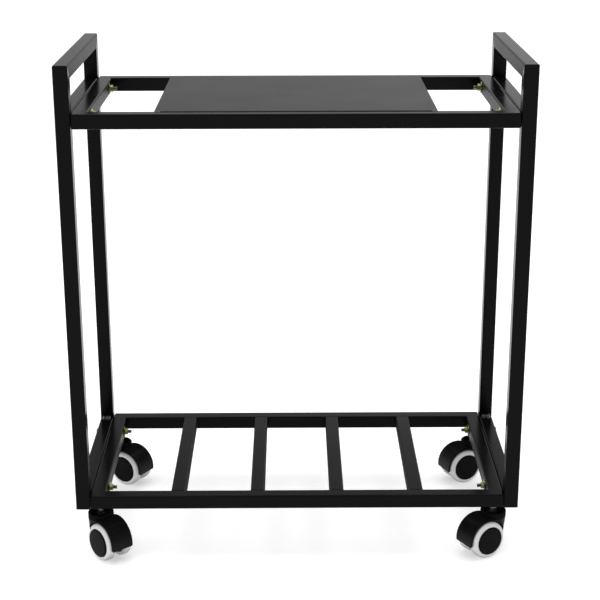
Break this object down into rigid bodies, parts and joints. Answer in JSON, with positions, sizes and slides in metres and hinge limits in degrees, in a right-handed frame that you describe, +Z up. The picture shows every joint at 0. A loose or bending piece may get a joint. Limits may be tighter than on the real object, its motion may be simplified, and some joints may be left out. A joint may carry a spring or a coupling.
{
  "type": "battery trolley",
  "caption": "Two-shelf square-tube trolley for batteries: slatted lower shelf, open upper shelf with a middle plate, looped side frames as handles, hooded twin-wheel swivel casters.",
  "frame": {"origin": "on the floor, under the middle of the whole object's box, with the front casters' overhang counted", "axes": "+Z up, +X along the shelves to the right as seen from the front, +Y from the front to the back"},
  "size_m": [0.6914, 0.3575, 0.775],
  "materials": {
    "frame_tube": "satin black powder coat",
    "shelf_plate": "satin black powder coat",
    "weld_bead": "black powder coat over weld",
    "plug_plastic": "moulded black plastic",
    "yellow_zinc": "yellow passivated zinc",
    "bright_steel": "bright zinc plated steel",
    "caster_housing": "moulded black nylon",
    "caster_wheel": "smooth black nylon",
    "caster_tread": "smooth off-white soft tread"
  },
  "bodies": {
    "frame": {"left_front_post": "frame_tube", "left_rear_post": "frame_tube", "left_handle_bar": "frame_tube", "left_upper_cross_rail": "frame_tube", "left_lower_cross_rail": "frame_tube", "upper_shelf_left_rail": "frame_tube", "lower_shelf_left_rail": "frame_tube", "right_front_post": "frame_tube", "right_rear_post": "frame_tube", "right_handle_bar": "frame_tube", "right_upper_cross_rail": "frame_tube", "right_lower_cross_rail": "frame_tube", "upper_shelf_right_rail": "frame_tube", "lower_shelf_right_rail": "frame_tube", "upper_shelf_front_rail": "frame_tube", "lower_shelf_front_rail": "frame_tube", "upper_shelf_rear_rail": "frame_tube", "lower_shelf_rear_rail": "frame_tube", "upper_shelf_plate": "shelf_plate", "lower_shelf_slat_1": "frame_tube", "lower_shelf_slat_2": "frame_tube", "lower_shelf_slat_3": "frame_tube", "lower_shelf_slat_4": "frame_tube", "side_frame_welds": "weld_bead", "slat_welds": "weld_bead", "plate_tacks": "weld_bead", "post_plugs": "plug_plastic", "frame_bolts": "yellow_zinc", "frame_washers": "yellow_zinc", "frame_nuts": "yellow_zinc", "caster_stems": "bright_steel", "caster_grip_rings": "bright_steel", "caster_lock_nuts": "bright_steel", "caster_weld_nuts": "bright_steel"},
    "front_left_caster": {"front_left_caster_housing": "caster_housing", "front_left_caster_axle": "bright_steel"},
    "front_left_wheel_1": {"front_left_caster_wheel_1": "caster_wheel", "front_left_caster_tread_1": "caster_tread"},
    "front_left_wheel_2": {"front_left_caster_wheel_2": "caster_wheel", "front_left_caster_tread_2": "caster_tread"},
    "front_right_caster": {"front_right_caster_housing": "caster_housing", "front_right_caster_axle": "bright_steel"},
    "front_right_wheel_1": {"front_right_caster_wheel_1": "caster_wheel", "front_right_caster_tread_1": "caster_tread"},
    "front_right_wheel_2": {"front_right_caster_wheel_2": "caster_wheel", "front_right_caster_tread_2": "caster_tread"},
    "rear_left_caster": {"rear_left_caster_housing": "caster_housing", "rear_left_caster_axle": "bright_steel"},
    "rear_left_wheel_1": {"rear_left_caster_wheel_1": "caster_wheel", "rear_left_caster_tread_1": "caster_tread"},
    "rear_left_wheel_2": {"rear_left_caster_wheel_2": "caster_wheel", "rear_left_caster_tread_2": "caster_tread"},
    "rear_right_caster": {"rear_right_caster_housing": "caster_housing", "rear_right_caster_axle": "bright_steel"},
    "rear_right_wheel_1": {"rear_right_caster_wheel_1": "caster_wheel", "rear_right_caster_tread_1": "caster_tread"},
    "rear_right_wheel_2": {"rear_right_caster_wheel_2": "caster_wheel", "rear_right_caster_tread_2": "caster_tread"}
  },
  "joints": [
    {"name": "front_left_swivel", "type": "hinge", "parent": "frame", "child": "front_left_caster", "pos_m": [-0.309, -0.12295, 0.07], "axis": [0, 0, 1], "continuous": true},
    {"name": "front_left_wheel_1_spin", "type": "hinge", "parent": "front_left_caster", "child": "front_left_wheel_1", "pos_m": [-0.29391, -0.14031, 0.03], "axis": [0.7547, 0.6561, 0], "continuous": true},
    {"name": "front_left_wheel_2_spin", "type": "hinge", "parent": "front_left_caster", "child": "front_left_wheel_2", "pos_m": [-0.29391, -0.14031, 0.03], "axis": [0.7547, 0.6561, 0], "continuous": true},
    {"name": "front_right_swivel", "type": "hinge", "parent": "frame", "child": "front_right_caster", "pos_m": [0.309, -0.12295, 0.07], "axis": [0, 0, 1], "continuous": true},
    {"name": "front_right_wheel_1_spin", "type": "hinge", "parent": "front_right_caster", "child": "front_right_wheel_1", "pos_m": [0.2895, -0.13514, 0.03], "axis": [0.5299, -0.848, 0], "continuous": true},
    {"name": "front_right_wheel_2_spin", "type": "hinge", "parent": "front_right_caster", "child": "front_right_wheel_2", "pos_m": [0.2895, -0.13514, 0.03], "axis": [0.5299, -0.848, 0], "continuous": true},
    {"name": "rear_left_swivel", "type": "hinge", "parent": "frame", "child": "rear_left_caster", "pos_m": [-0.309, 0.14705, 0.07], "axis": [0, 0, 1], "continuous": true},
    {"name": "rear_left_wheel_1_spin", "type": "hinge", "parent": "rear_left_caster", "child": "rear_left_wheel_1", "pos_m": [-0.28971, 0.13452, 0.03], "axis": [0.5446, 0.8387, 0], "continuous": true},
    {"name": "rear_left_wheel_2_spin", "type": "hinge", "parent": "rear_left_caster", "child": "rear_left_wheel_2", "pos_m": [-0.28971, 0.13452, 0.03], "axis": [0.5446, 0.8387, 0], "continuous": true},
    {"name": "rear_right_swivel", "type": "hinge", "parent": "frame", "child": "rear_right_caster", "pos_m": [0.309, 0.14705, 0.07], "axis": [0, 0, 1], "continuous": true},
    {"name": "rear_right_wheel_1_spin", "type": "hinge", "parent": "rear_right_caster", "child": "rear_right_wheel_1", "pos_m": [0.28799, 0.1377, 0.03], "axis": [0.4067, -0.9135, 0], "continuous": true},
    {"name": "rear_right_wheel_2_spin", "type": "hinge", "parent": "rear_right_caster", "child": "rear_right_wheel_2", "pos_m": [0.28799, 0.1377, 0.03], "axis": [0.4067, -0.9135, 0], "continuous": true}
  ]
}
